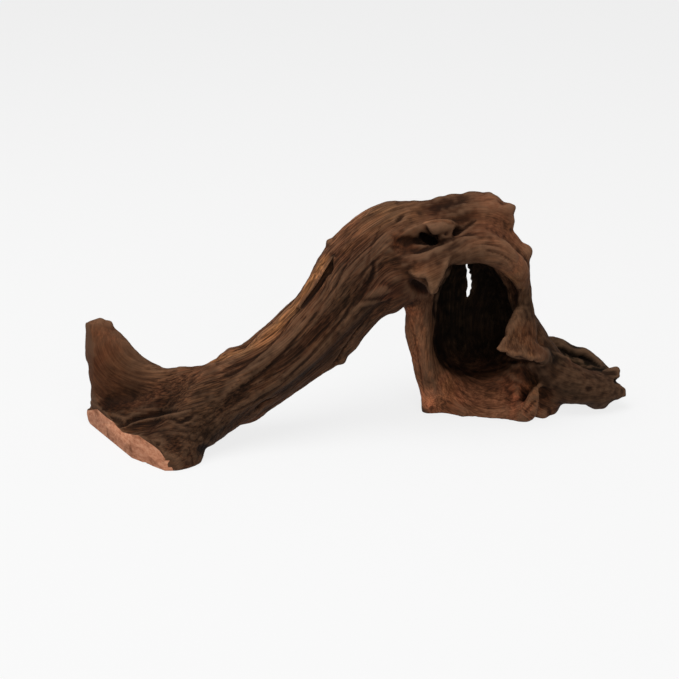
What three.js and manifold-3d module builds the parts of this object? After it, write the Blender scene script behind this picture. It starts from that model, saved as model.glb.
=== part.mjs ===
// A piece of aquarium driftwood, one solid, in millimetres with +Z up.
//
// A long fluted limb rises from a sawn root on the left, bends over into an arch, and comes down on
// the right as a hollow shell like a small cave, with a knobbly root running out past it. It stands
// on the sawn root, on the flat foot of the shell and on the outer root.
//
// The wood is one continuous field: strokes along smooth curves are added and carved in order, each
// blending into what is there already. The field's zero surface is then meshed, and the saw cut, the
// foot, the slit and the crack are cut into that mesh as exact booleans.

import * as THREE from "three";
import { mergeVertices } from "three/addons/utils/BufferGeometryUtils.js";
import Module from "manifold-3d";

// Driving dimensions
const CELL = 4.95; // side of the cubes that the field is sampled in
const STEPS_PER_SPAN = 5; // straight pieces between two points of a stroke
const RELAX_ROUNDS = 3; // times the mesh is evened out and pressed back onto the field
const GRADIENT_STEP = 0.4; // half the width over which the field's slope is measured
const FILL = 0.3; // depth inside the wood that a filled corner of the cubes gets
const HAIR = 0.05; // shortest edge that is kept after the cuts
const FAR = 1e3; // a distance outside everything
const ROUGH_BASE = -6; // height below the feet where the field ends, before the feet are cut flat

// The space that holds the wood, with a margin all round
const BOUNDS = new THREE.Box3(new THREE.Vector3(-170, -76, -12), new THREE.Vector3(196, 112, 152));

// Each stroke is a row of points [x, y, z, radius]. A blade is thin across one direction, to a share
// of its radius. A carved stroke takes wood away. blend is the width of the fillet at its joint.
// Flutes are ridges that run along a stroke: their number, their height and how fast they wind.
const STROKES = [
  {
    name: "limb and haunch",
    points: [
      [-80, -17, 25.5, 20.5], [-63, -10, 32.5, 19], [-47, -5, 41, 19], [-30, 1, 53, 19],
      [-15, 7, 67, 19.6], [-1, 12, 81, 22.5], [11, 16, 92, 25], [27, 20, 103, 27],
      [43, 25, 108, 26.6], [61, 30, 116, 21.8], [79, 35, 119, 20.7], [91, 38, 113, 13.5],
    ],
    blend: 10,
    flutes: { count: 7, height: 1.6, twist: 0.012 },
  },
  {
    name: "keel under the limb",
    points: [
      [-71, -4, 11, 7], [-57, 0, 15, 8.5], [-39, 5, 26, 9.1], [-20, 9, 39, 9.1], [-3, 13, 49, 9.1],
      [8, 15, 62, 9.1], [21, 16, 76, 9.1], [32, 16, 82, 8.5],
    ],
    blend: 5,
  },
  {
    name: "ridge along the limb's back",
    points: [
      [-67, 2, 45, 7.3], [-42, 10, 57, 7.3], [-19, 17, 80, 7.9], [-3, 23, 105, 7.8],
      [2, 25, 111, 8.5], [14, 28, 121, 8.4], [26, 30, 128, 8.4], [44, 33, 129, 8],
    ],
    blend: 4,
  },
  {
    name: "top corner",
    points: [[77, 36, 124, 16], [94, 36, 130, 9.5], [101.5, 34, 128.5, 5.2]],
    blend: 5,
  },
  {
    name: "fin, upright edge",
    points: [[-147.2, 16, 61, 8.6], [-145, 15, 48, 12.2], [-142.3, 13, 33, 12.8], [-140, 10, 20, 12.2]],
    thin: [0.15, 1, 0.1],
    ratio: 0.5,
    blend: 6,
  },
  {
    name: "fin, slope down to the limb",
    points: [[-139, 15, 48, 11.6], [-125, 9, 33, 14.4], [-106, 0, 28, 14], [-85, -8, 32, 13.2]],
    thin: [0.25, 1, 0.1],
    ratio: 0.6,
    blend: 10,
  },
  {
    name: "root plate between fin and lobe",
    points: [[-88, -14, 13, 16], [-108, -12, 9, 20], [-132, -4, 6.5, 18], [-150, 8, 6, 12]],
    thin: [0, 0, 1],
    ratio: 0.5,
    blend: 12,
  },
  {
    name: "slope at the fin's foot",
    points: [[-138, 4, 6, 8], [-124, -5, 8, 11], [-106, -11, 16, 12]],
    blend: 10,
  },
  {
    name: "lobe",
    points: [
      [-70, -15, 28, 14], [-88, -29, 15, 15.8], [-99, -39.5, 3, 18.5], [-117, -36.5, 0, 15],
      [-134, -28, 0, 12],
    ],
    blend: 7,
  },
  {
    name: "valley between fin and lobe",
    points: [[-156, -25, 23, 8], [-131, -27, 21, 8.5], [-112, -25, 27, 7.5], [-92, -20, 38, 4]],
    carve: true,
    blend: 6,
  },
  {
    name: "shell",
    points: [[80, 46, 99, 25], [82, 50, 67, 31.5], [86.5, 52, 32, 36], [91.5, 52, -8, 37]],
    thin: [0, 1, 0],
    ratio: 0.9,
    blend: 12,
    flutes: { count: 9, height: 1.6, twist: 0.014 },
  },
  {
    name: "left buttress on the shell's back",
    points: [[68, 58, 100, 12], [68, 68, 62, 11], [66, 74, 4, 14]],
    blend: 12,
  },
  {
    name: "right buttress on the shell's back",
    points: [[98, 56, 96, 12], [104, 66, 56, 13], [114, 76, 4, 19]],
    blend: 12,
  },
  {
    name: "ridge down the shell's back",
    points: [[84, 66, 98, 8], [92, 75, 60, 7], [86, 80, 20, 9], [84, 84, 0, 12]],
    blend: 8,
  },
  {
    name: "left wall of the cave",
    points: [[48, 22, 84, 9.7], [50, 26, 57, 8], [55, 30, 29, 8.7], [62, 33, 0, 9.5]],
    blend: 6,
  },
  {
    name: "left wall of the cave, back part",
    points: [[53, 40, 88, 8], [54, 44, 68, 8], [56, 46, 44, 8]],
    blend: 8,
  },
  {
    name: "right leg",
    points: [
      [94, 38, 111, 11.5], [104.5, 36, 101, 11.2], [109.2, 34, 84, 7.9], [112.3, 34, 64, 8.8],
      [121, 35, 43, 11.4], [129, 37, 23, 13.5], [128, 34.5, 6, 11],
    ],
    blend: 6,
  },
  {
    name: "outer root, front",
    points: [[127, 32, 30, 11], [140, 32, 22, 12.5], [153, 34, 15, 12], [165, 37, 12, 10.5]],
    blend: 6,
  },
  {
    name: "outer root, back wall",
    points: [[133, 60, 31, 9.5], [151, 62, 25, 9.5], [168, 57, 17, 6.5]],
    blend: 6,
  },
  {
    name: "floor of the trough",
    points: [[136, 46, 16, 11], [152, 47, 12, 9], [166, 47, 9, 7]],
    blend: 8,
  },
  {
    name: "trough in the outer root",
    points: [[142, 47, 38, 7], [158, 47, 31, 7.5], [172, 46, 25, 6]],
    carve: true,
    blend: 3,
  },
  {
    name: "upper nub of the outer root",
    points: [[159, 40, 16, 7.6], [171, 42, 17, 5.1], [177, 42, 20, 3.2]],
    blend: 3,
  },
  {
    name: "lower nub of the outer root",
    points: [[161, 38, 10, 7.6], [172, 37, 10, 5], [179, 36, 12, 3.2]],
    blend: 3,
  },
  {
    name: "cave, mouth and floor",
    points: [[80, 22, 97, 14], [82, 18, 72, 24], [86, 18, 46, 30], [87, 18, 28, 26]],
    carve: true,
    blend: 5,
  },
  {
    name: "cave, under the bar",
    points: [[66, 20, 90, 8], [80, 22, 94, 13], [100, 26, 84, 11]],
    carve: true,
    blend: 5,
  },
  {
    name: "cave, inside",
    points: [[80, 46, 94, 13], [83, 46, 68, 23.5], [86, 43, 46, 28]],
    carve: true,
    blend: 5,
  },
  {
    name: "scoop beside the floor",
    points: [[100, 24, 26, 14], [110, 24, 20, 13]],
    carve: true,
    blend: 5,
  },
  {
    name: "bar over the cave",
    points: [
      [30, 10, 88, 10.8], [45, 5, 101, 8.3], [65, 4, 112, 7.1], [89, 8, 113, 8.3], [106, 18, 99, 7.6],
      [114, 26, 81, 3.7],
    ],
    blend: 6,
  },
  {
    name: "tooth",
    points: [[58, 0, 109, 8], [56, -4, 101, 6.8], [54.5, -7, 92.5, 3.4]],
    thin: [0.2, 1, 0.2],
    ratio: 0.6,
    blend: 3,
  },
  {
    name: "ledge left of the tooth",
    points: [[38, 0, 109.5, 6], [50, -1.5, 108, 7.5]],
    thin: [0, 1, 0.2],
    ratio: 0.6,
    blend: 4,
  },
  {
    name: "hood at the cave's right",
    points: [[116, 27, 80, 5], [112.5, 19, 67, 9.8], [110.5, 14, 57, 13.4]],
    thin: [-0.53, 0.84, -0.14],
    ratio: 0.42,
    blend: 5,
  },
  {
    name: "ragged lip of the hood",
    points: [[99.5, 6.5, 52.5, 3.6], [108, 6, 50, 5], [118, 10, 47, 5], [126, 20, 42, 6]],
    thin: [-0.53, 0.84, -0.14],
    ratio: 0.7,
    blend: 4,
  },
  {
    name: "hollow in the arch",
    points: [[36, -2, 121, 6], [48, 3, 120, 7], [57, 8, 121, 5]],
    carve: true,
    blend: 4,
  },
  {
    name: "lid over the hollow",
    points: [[44, 3, 125.5, 3.4], [54, 3.5, 127.5, 4.2], [66, 9, 127.5, 3.6]],
    blend: 3,
  },
  {
    name: "gap beside the shell's foot",
    points: [[126, 22, 15, 6], [122, 17, 4, 6]],
    carve: true,
    blend: 3,
  },
  {
    name: "knob on the shell's lip",
    points: [[108, 25, 0, 6], [117, 21, 5, 6], [120, 18, 14, 4.5], [121, 17, 21, 3]],
    blend: 4,
  },
];

// The two saw cuts on the left root: a point on each and the way it faces
const SAW_CUTS = [
  { point: new THREE.Vector3(-141, -9, 6), facing: new THREE.Vector3(-0.85, -0.525, 0.05).normalize() },
  { point: new THREE.Vector3(-112, -48.5, 0), facing: new THREE.Vector3(-0.65, -0.76, 0.03).normalize() },
];

// The plane that the feet stand on
const FEET_POINT = new THREE.Vector3(0, 0, 0);
const FEET_FACING = new THREE.Vector3(0, 0, -1);

// Openings too thin for the field, each an outline seen along its own direction, which slants down
// to the back, in millimetres from its middle
const SLANT = THREE.MathUtils.degToRad(20);
const SLIT = {
  middle: [82, 78, 72],
  depth: 60,
  outline: [
    [-1.7, 10.4], [0.9, 10.4], [1.5, 5.3], [1.2, 0.2], [2.1, -5], [1.2, -10.1], [-0.4, -10.7], [-1.1, -5],
    [-2, 0.2], [-1.4, 5.9],
  ],
};
const CRACK = {
  middle: [-12.8, 4, 94.1],
  depth: 16,
  outline: [
    [9.6, 17.4], [8.4, 12.6], [8.1, 9], [5.4, 4.2], [0, -3], [-6, -9.6], [-13.2, -17.4], [-7.8, -10.2],
    [-2.4, -3.3], [2.4, 3], [4.5, 7.8], [6.3, 13.2],
  ],
};

// Field

// The straight pieces of a stroke, with a frame carried along the curve for its flutes.
function traceStroke(stroke) {
  const places = stroke.points.map(([x, y, z]) => new THREE.Vector3(x, y, z));
  const curve = new THREE.CatmullRomCurve3(places, false, "centripetal");
  const count = (places.length - 1) * STEPS_PER_SPAN;
  const samples = [];
  let side = new THREE.Vector3(0, 1, 0);
  let along = 0;
  for (let i = 0; i <= count; i++) {
    const place = curve.getPoint(i / count);
    const tangent = curve.getTangent(i / count);
    side = side.clone().addScaledVector(tangent, -side.dot(tangent)).normalize();
    const span = Math.min(Math.floor(i / STEPS_PER_SPAN), places.length - 2);
    const share = i / STEPS_PER_SPAN - span;
    const radius = THREE.MathUtils.lerp(stroke.points[span][3], stroke.points[span + 1][3], share);
    if (i > 0) along += place.distanceTo(samples[i - 1].place);
    samples.push({ place, side, up: tangent.clone().cross(side), radius, along });
  }
  const box = new THREE.Box3();
  for (const { place, radius } of samples) {
    box.expandByPoint(place.clone().addScalar(radius));
    box.expandByPoint(place.clone().addScalar(-radius));
  }
  const thin = stroke.thin ? new THREE.Vector3(...stroke.thin).normalize() : null;
  return { ...stroke, samples, box, thin, ratio: stroke.ratio ?? 1 };
}

const offset = new THREE.Vector3();

// Distance from a point to a traced stroke's surface, below zero inside it.
function strokeDistance(stroke, point) {
  const { samples, thin, ratio, flutes } = stroke;
  let best = FAR;
  for (let i = 1; i < samples.length; i++) {
    const a = samples[i - 1];
    const b = samples[i];
    const dx = b.place.x - a.place.x;
    const dy = b.place.y - a.place.y;
    const dz = b.place.z - a.place.z;
    const px = point.x - a.place.x;
    const py = point.y - a.place.y;
    const pz = point.z - a.place.z;
    const t = Math.min(1, Math.max(0, (px * dx + py * dy + pz * dz) / (dx * dx + dy * dy + dz * dz)));
    offset.set(px - t * dx, py - t * dy, pz - t * dz);
    let radius = a.radius + t * (b.radius - a.radius);
    if (thin) offset.addScaledVector(thin, offset.dot(thin) * (1 / ratio - 1));
    if (flutes) {
      const angle = Math.atan2(offset.dot(a.up), offset.dot(a.side));
      const along = a.along + t * (b.along - a.along);
      const wander = 0.8 * Math.sin(along * 0.045 + 2 * angle);
      radius += flutes.height * Math.cos(flutes.count * angle + flutes.twist * along + wander);
    }
    const distance = offset.length() - radius;
    if (distance < best) best = distance;
  }
  return best;
}

function smoothMin(a, b, width) {
  const h = Math.max(width - Math.abs(a - b), 0) / width;
  return Math.min(a, b) - (h * h * width) / 4;
}

const traced = STROKES.map(traceStroke);

// The wood's field at a point: below zero inside the wood.
function wood(point) {
  let value = FAR;
  for (const stroke of traced) {
    const reach = stroke.box.distanceToPoint(point) * stroke.ratio;
    if (stroke.carve ? reach > stroke.blend : reach > Math.max(0, value) + stroke.blend) continue;
    const distance = strokeDistance(stroke, point);
    value = stroke.carve
      ? -smoothMin(-value, distance, stroke.blend)
      : smoothMin(value, distance, stroke.blend);
  }
  return Math.max(value, ROUGH_BASE - point.z);
}

// Mesh

// Fills one corner of each cell face whose inside and outside corners stand crosswise, because the
// surface would pinch to an edge with four faces there.
function fillCrossings(values, [x, y, z]) {
  let filled = true;
  while (filled) {
    filled = false;
    for (let here = 0; here < values.length - x - y - z; here++) {
      for (const [u, w] of [[x, y], [y, z], [z, x]]) {
        const ring = [here, here + u, here + u + w, here + w];
        const [a, b, c, d] = ring.map((corner) => values[corner] < 0);
        if (a !== c || b !== d || a === b) continue;
        const [first, second] = a ? [ring[1], ring[3]] : [ring[0], ring[2]];
        values[values[first] < values[second] ? first : second] = -FILL;
        filled = true;
      }
    }
  }
}

// A closed mesh of the field's zero surface: one vertex in each cell that the surface crosses, and
// one quad across each cell edge that it crosses.
function meshField(field, bounds, cell) {
  const size = bounds.getSize(new THREE.Vector3()).divideScalar(cell).ceil();
  const [nx, ny, nz] = [size.x + 1, size.y + 1, size.z + 1];
  const at = (i, j, k) => i + nx * (j + ny * k);
  const values = new Float32Array(nx * ny * nz);
  const point = new THREE.Vector3();
  for (let k = 0; k < nz; k++) {
    for (let j = 0; j < ny; j++) {
      for (let i = 0; i < nx; i++) {
        point.set(i, j, k).multiplyScalar(cell).add(bounds.min);
        values[at(i, j, k)] = field(point);
      }
    }
  }

  const steps = [at(1, 0, 0), at(0, 1, 0), at(0, 0, 1)];
  fillCrossings(values, steps);

  const corners = [0, 1, 2, 3, 4, 5, 6, 7].map((c) => [c & 1, (c >> 1) & 1, c >> 2]);
  const edges = [
    [0, 1], [2, 3], [4, 5], [6, 7], [0, 2], [1, 3], [4, 6], [5, 7], [0, 4], [1, 5], [2, 6], [3, 7],
  ];
  const vertexOf = new Int32Array(nx * ny * nz).fill(-1);
  const vertices = [];
  for (let k = 0; k < nz - 1; k++) {
    for (let j = 0; j < ny - 1; j++) {
      for (let i = 0; i < nx - 1; i++) {
        const v = corners.map(([x, y, z]) => values[at(i + x, j + y, k + z)]);
        const sum = new THREE.Vector3();
        let crossings = 0;
        for (const [a, b] of edges) {
          if (v[a] < 0 === v[b] < 0) continue;
          const t = v[a] / (v[a] - v[b]);
          sum.x += corners[a][0] + t * (corners[b][0] - corners[a][0]);
          sum.y += corners[a][1] + t * (corners[b][1] - corners[a][1]);
          sum.z += corners[a][2] + t * (corners[b][2] - corners[a][2]);
          crossings++;
        }
        if (!crossings) continue;
        vertexOf[at(i, j, k)] = vertices.length;
        sum.divideScalar(crossings).add(new THREE.Vector3(i, j, k));
        vertices.push(sum.multiplyScalar(cell).add(bounds.min));
      }
    }
  }

  const quads = [];
  for (let k = 1; k < nz - 1; k++) {
    for (let j = 1; j < ny - 1; j++) {
      for (let i = 1; i < nx - 1; i++) {
        const here = at(i, j, k);
        for (let axis = 0; axis < 3; axis++) {
          const inside = values[here] < 0;
          if (inside === values[here + steps[axis]] < 0) continue;
          const u = steps[(axis + 1) % 3];
          const w = steps[(axis + 2) % 3];
          const ring = [here - u - w, here - w, here, here - u].map((c) => vertexOf[c]);
          quads.push(inside ? ring : ring.reverse());
        }
      }
    }
  }
  return { vertices, quads };
}

// Moves a point onto the field's zero surface, along the field's slope.
function pressOnto(field, point) {
  const probe = new THREE.Vector3();
  const slope = new THREE.Vector3();
  const value = field(point);
  for (const axis of ["x", "y", "z"]) {
    probe.copy(point)[axis] += GRADIENT_STEP;
    const ahead = field(probe);
    probe[axis] -= 2 * GRADIENT_STEP;
    slope[axis] = (ahead - field(probe)) / (2 * GRADIENT_STEP);
  }
  const steep = Math.max(slope.lengthSq(), 0.2);
  point.addScaledVector(slope, -THREE.MathUtils.clamp(value, -CELL, CELL) / steep);
}

// Evens the mesh out along the surface and presses it back, so that the facets follow the form.
function relax(mesh, field, rounds) {
  for (let round = 0; round < rounds; round++) {
    const sums = mesh.vertices.map(() => new THREE.Vector3());
    const counts = new Uint16Array(mesh.vertices.length);
    for (const quad of mesh.quads) {
      quad.forEach((v, n) => {
        sums[v].add(mesh.vertices[quad[(n + 1) % 4]]).add(mesh.vertices[quad[(n + 3) % 4]]);
        counts[v] += 2;
      });
    }
    mesh.vertices.forEach((v, n) => {
      v.lerp(sums[n].divideScalar(counts[n]), 0.5);
      pressOnto(field, v);
    });
  }
}

function toGeometry({ vertices, quads }) {
  const geometry = new THREE.BufferGeometry().setFromPoints(vertices);
  const index = [];
  for (const [a, b, c, d] of quads) {
    const across = vertices[a].distanceToSquared(vertices[c]) < vertices[b].distanceToSquared(vertices[d]);
    index.push(...(across ? [a, b, c, a, c, d] : [a, b, d, b, c, d]));
  }
  return geometry.setIndex(index);
}

// Solids

const wasm = await Module();
wasm.setup();

function toSolid(geometry) {
  const bare = geometry.clone();
  bare.deleteAttribute("normal");
  bare.deleteAttribute("uv");
  const merged = mergeVertices(bare, 1e-4);
  return new wasm.Manifold(
    new wasm.Mesh({
      numProp: 3,
      vertProperties: new Float32Array(merged.attributes.position.array),
      triVerts: new Uint32Array(merged.index.array),
    }),
  );
}

function fromSolid(solid) {
  const { numProp, vertProperties, triVerts } = solid.getMesh();
  const geometry = new THREE.BufferGeometry();
  geometry.setAttribute("position", new THREE.BufferAttribute(new Float32Array(vertProperties), numProp));
  return geometry.setIndex(new THREE.BufferAttribute(triVerts, 1));
}

// A large block whose near face passes through a point, with all of it on the side faced.
function halfSpace(point, facing) {
  const block = new THREE.BoxGeometry(600, 600, 600).translate(0, 0, 300);
  block.applyQuaternion(new THREE.Quaternion().setFromUnitVectors(new THREE.Vector3(0, 0, 1), facing));
  return block.translate(...point.toArray());
}

// A prism through a thin opening's outline, centred on its middle and slanting down to the back.
function thinCut({ middle, depth, outline }) {
  const shape = new THREE.Shape(outline.map(([across, up]) => new THREE.Vector2(across, up)));
  const prism = new THREE.ExtrudeGeometry(shape, { depth, bevelEnabled: false });
  return prism.translate(0, 0, -depth / 2).rotateX(Math.PI / 2 - SLANT).translate(...middle);
}

// Draws together the corners that a cut leaves less than a hair apart, and drops the faces that this
// closes.
function closeHairs(geometry) {
  const { position } = geometry.attributes;
  const corners = geometry.index.array;
  const [p, q] = [new THREE.Vector3(), new THREE.Vector3()];
  const joined = Array.from({ length: position.count }, (_, n) => n);
  const kept = (n) => {
    let last = n;
    while (joined[last] !== last) last = joined[last];
    return last;
  };
  for (let i = 0; i < corners.length; i++) {
    const next = i % 3 === 2 ? i - 2 : i + 1;
    p.fromBufferAttribute(position, corners[i]);
    q.fromBufferAttribute(position, corners[next]);
    if (p.distanceTo(q) < HAIR) joined[kept(corners[i])] = kept(corners[next]);
  }
  const index = [];
  for (let i = 0; i < corners.length; i += 3) {
    const [a, b, c] = [kept(corners[i]), kept(corners[i + 1]), kept(corners[i + 2])];
    if (a !== b && b !== c && c !== a) index.push(a, b, c);
  }
  geometry.setIndex(index);
  return mergeVertices(geometry, HAIR / 10);
}

// The wood, cut flat at the saw and at the feet, with the largest body kept, and the middle of its
// footprint moved to the origin.
function buildWood() {
  const mesh = meshField(wood, BOUNDS, CELL);
  relax(mesh, wood, RELAX_ROUNDS);
  let solid = toSolid(toGeometry(mesh));
  const cuts = SAW_CUTS.map(({ point, facing }) => halfSpace(point, facing));
  cuts.push(halfSpace(FEET_POINT, FEET_FACING), thinCut(SLIT), thinCut(CRACK));
  for (const cut of cuts) solid = solid.subtract(toSolid(cut));
  const bodies = solid.decompose().sort((a, b) => b.volume() - a.volume());
  const geometry = closeHairs(fromSolid(bodies[0]));
  geometry.computeBoundingBox();
  const centre = geometry.boundingBox.getCenter(new THREE.Vector3());
  return geometry.translate(-centre.x, -centre.y, 0);
}

const material = new THREE.MeshStandardMaterial({
  name: "weathered wood",
  color: 0x5a3c2a,
  roughness: 0.85,
  metalness: 0,
});
const driftwood = new THREE.Mesh(buildWood(), material);
driftwood.name = "driftwood";

const object = new THREE.Group();
object.add(driftwood);

export default object;
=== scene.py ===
# A piece of weathered driftwood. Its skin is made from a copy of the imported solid: broken edges and
# flaps are added, the whole is remeshed finely, then worked with grooves, ridges and grain, and cut
# where a saw cut it.

import math

import bpy
import numpy as np
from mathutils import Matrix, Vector
from mathutils.bvhtree import BVHTree


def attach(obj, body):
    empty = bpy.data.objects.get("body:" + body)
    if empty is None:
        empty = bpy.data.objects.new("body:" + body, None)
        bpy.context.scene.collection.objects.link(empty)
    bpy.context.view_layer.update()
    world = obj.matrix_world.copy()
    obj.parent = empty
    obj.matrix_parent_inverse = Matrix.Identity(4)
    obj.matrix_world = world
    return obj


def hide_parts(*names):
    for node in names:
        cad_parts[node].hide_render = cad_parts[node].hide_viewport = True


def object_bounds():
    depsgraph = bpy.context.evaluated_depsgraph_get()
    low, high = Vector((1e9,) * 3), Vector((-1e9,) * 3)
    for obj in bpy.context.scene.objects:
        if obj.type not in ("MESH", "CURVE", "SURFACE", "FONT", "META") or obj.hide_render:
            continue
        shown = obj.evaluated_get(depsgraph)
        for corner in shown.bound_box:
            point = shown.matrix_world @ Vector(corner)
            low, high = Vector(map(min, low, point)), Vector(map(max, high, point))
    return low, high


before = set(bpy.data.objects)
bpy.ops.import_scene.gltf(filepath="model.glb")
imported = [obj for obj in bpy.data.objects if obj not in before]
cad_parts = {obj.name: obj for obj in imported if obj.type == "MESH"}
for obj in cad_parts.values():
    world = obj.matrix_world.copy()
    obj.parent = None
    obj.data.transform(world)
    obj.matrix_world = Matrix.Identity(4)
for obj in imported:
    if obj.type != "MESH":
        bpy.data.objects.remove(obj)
solid_low, solid_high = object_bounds()

# Measures are in millimetres in the drawing's frame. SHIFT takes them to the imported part's frame.
SHIFT = np.array((-12.199, -19.028, 0.0))
MM = 0.001

# The camera of the drawing: it looks at AIM from the front, a little from above.
AIM = np.array((0.0, 0.0, 60.0))
DISTANCE = 1000.0
ELEVATION = math.radians(20)
PICTURE_SIDE = 679  # pixels
PIXEL = 0.6  # millimetres on the object for one pixel
MIDDLE = PICTURE_SIDE / 2
SENSOR = 36
VIEW_TRANSFORM = "Standard"

SKIN_CELL = 1.15  # side of the remesh cells
SOFTEN_IN, SOFTEN_OUT = 0.55, 0.57
GRAIN_TWIST = 0.0035  # radians that the grain turns round its line in each millimetre
POINTS_AT_ONCE = 20000

# How open each point lies, which is painted into the wood's colour as shade: one point in SKY_STEP looks
# out along some rays, and the rest take theirs from the points round them.
SKY_STEP = 7
SKY_RAYS = 28
SKY_REACH = 80
SKY_SPREADS = 7


# Places


def to_part(points):
    return (np.asarray(points, float) + SHIFT) * MM


def from_part(points):
    return np.asarray(points, float) / MM - SHIFT


def eye():
    return AIM + DISTANCE * np.array((0.0, -math.cos(ELEVATION), math.sin(ELEVATION)))


def sight(px, py):
    """The direction in which the camera sees a pixel."""
    across = (px - MIDDLE) * PIXEL / DISTANCE
    up = (MIDDLE - py) * PIXEL / DISTANCE
    cosine, sine = math.cos(ELEVATION), math.sin(ELEVATION)
    return np.array((across, cosine + up * sine, -sine + up * cosine))


def seen_at(px, py, depth):
    """The point that the camera sees at a pixel, depth millimetres behind the drawing's front plane."""
    ray = sight(px, py)
    return eye() + ray * (depth - eye()[1]) / ray[1]


def picture_place(points):
    """Where the camera sees each point, in pixels."""
    gap = points - eye()
    cosine, sine = math.cos(ELEVATION), math.sin(ELEVATION)
    deep = gap[:, 1] * cosine - gap[:, 2] * sine
    up = gap[:, 1] * sine + gap[:, 2] * cosine
    scale = DISTANCE / PIXEL
    return np.stack((MIDDLE + scale * gap[:, 0] / deep, MIDDLE - scale * up / deep), axis=1)


# Numbers


def ease(low, high, value):
    t = np.clip((value - low) / (high - low), 0, 1)
    return t * t * (3 - 2 * t)


def unit(way):
    return np.array(way) / np.linalg.norm(way)


def noise(points, seed):
    """Smooth noise in cells one unit wide, between about -1 and 1. Its large numbers only mix the cells."""
    cell = np.floor(points).astype(np.int64)
    part = points - cell
    fade = part * part * part * (part * (part * 6 - 15) + 10)
    total = np.zeros(len(points))
    for dx in (0, 1):
        for dy in (0, 1):
            for dz in (0, 1):
                x, y, z = cell[:, 0] + dx, cell[:, 1] + dy, cell[:, 2] + dz
                h = (x * 73856093) ^ (y * 19349663) ^ (z * 83492791) ^ (seed * 40503)
                h = ((h ^ (h >> 13)) * 1274126177) & 0x7FFFFFFF
                h = h ^ (h >> 15)
                slope = (
                    ((h & 1023) / 511.5 - 1) * (part[:, 0] - dx)
                    + (((h >> 10) & 1023) / 511.5 - 1) * (part[:, 1] - dy)
                    + (((h >> 20) & 1023) / 511.5 - 1) * (part[:, 2] - dz)
                )
                weight = np.where(dx, fade[:, 0], 1 - fade[:, 0])
                weight = weight * np.where(dy, fade[:, 1], 1 - fade[:, 1])
                weight = weight * np.where(dz, fade[:, 2], 1 - fade[:, 2])
                total += slope * weight
    return total * 1.6


def smooth_line(points, steps=8):
    """Points along a Catmull-Rom curve through the given points."""
    p = np.asarray(points, float)
    p = np.vstack((2 * p[0] - p[1], p, 2 * p[-1] - p[-2]))
    line = []
    for i in range(1, len(p) - 2):
        for k in range(steps):
            t = k / steps
            line.append(
                0.5
                * (
                    2 * p[i]
                    + (p[i + 1] - p[i - 1]) * t
                    + (2 * p[i - 1] - 5 * p[i] + 4 * p[i + 1] - p[i + 2]) * t * t
                    + (3 * p[i] - p[i - 1] - 3 * p[i + 1] + p[i + 2]) * t * t * t
                )
            )
    line.append(p[-2])
    return np.array(line)


# Meshes


def pick(piece):
    if bpy.context.object and bpy.context.object.mode != "OBJECT":
        bpy.ops.object.mode_set(mode="OBJECT")
    bpy.ops.object.select_all(action="DESELECT")
    piece.select_set(True)
    bpy.context.view_layer.objects.active = piece


def points_of(piece):
    co = np.empty(len(piece.data.vertices) * 3, np.float32)
    piece.data.vertices.foreach_get("co", co)
    return from_part(co.reshape(-1, 3))


def set_points(piece, points):
    piece.data.vertices.foreach_set("co", to_part(points).astype(np.float32).ravel())
    piece.data.update()


def normals_of(piece):
    out = np.empty(len(piece.data.vertices) * 3, np.float32)
    piece.data.vertex_normals.foreach_get("vector", out)
    return out.reshape(-1, 3).astype(float)


def edges_of(piece):
    out = np.empty(len(piece.data.edges) * 2, np.int32)
    piece.data.edges.foreach_get("vertices", out)
    return out.reshape(-1, 2)


def average_round(values, edges):
    """Each vertex's mean over the vertices that it shares an edge with."""
    count = np.bincount(edges.ravel(), minlength=len(values))[:, None]
    out = np.empty_like(values)
    for k in range(values.shape[1]):
        a = np.bincount(edges[:, 0], values[edges[:, 1], k], len(values))
        b = np.bincount(edges[:, 1], values[edges[:, 0], k], len(values))
        out[:, k] = a + b
    return out / np.maximum(count, 1)


def evened(values, edges, rounds):
    for _ in range(rounds):
        values = average_round(values, edges)
    return values


def soften(piece, rounds):
    """Evens out the surface without shrinking it."""
    p, edges = points_of(piece), edges_of(piece)
    for _ in range(rounds):
        p = p + SOFTEN_IN * (average_round(p, edges) - p)
        p = p - SOFTEN_OUT * (average_round(p, edges) - p)
    set_points(piece, p)


def apply_modifier(piece, kind, **settings):
    pick(piece)
    modifier = piece.modifiers.new(kind.lower(), kind)
    for name, value in settings.items():
        setattr(modifier, name, value)
    bpy.ops.object.modifier_apply(modifier=modifier.name)


def join_into(piece, others):
    pick(piece)
    for other in others:
        other.select_set(True)
    bpy.ops.object.join()


def cut(piece, blade):
    apply_modifier(piece, "BOOLEAN", operation="DIFFERENCE", solver="MANIFOLD", object=blade)
    bpy.data.objects.remove(blade)


def knotty_bar(name, rows):
    """A bar of wood along a curve through rows of x, y, z and radius."""
    curve = bpy.data.curves.new(name, "CURVE")
    curve.dimensions = "3D"
    curve.bevel_depth = MM
    curve.bevel_resolution = 4
    curve.use_fill_caps = True
    line = smooth_line(rows, 5)
    spline = curve.splines.new("POLY")
    spline.points.add(len(line) - 1)
    for point, row in zip(spline.points, line):
        point.co = (*to_part(row[:3]), 1)
        point.radius = row[3]
    bar = bpy.data.objects.new(name, curve)
    bpy.context.scene.collection.objects.link(bar)
    pick(bar)
    bpy.ops.object.convert(target="MESH")
    return bpy.context.object


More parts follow.
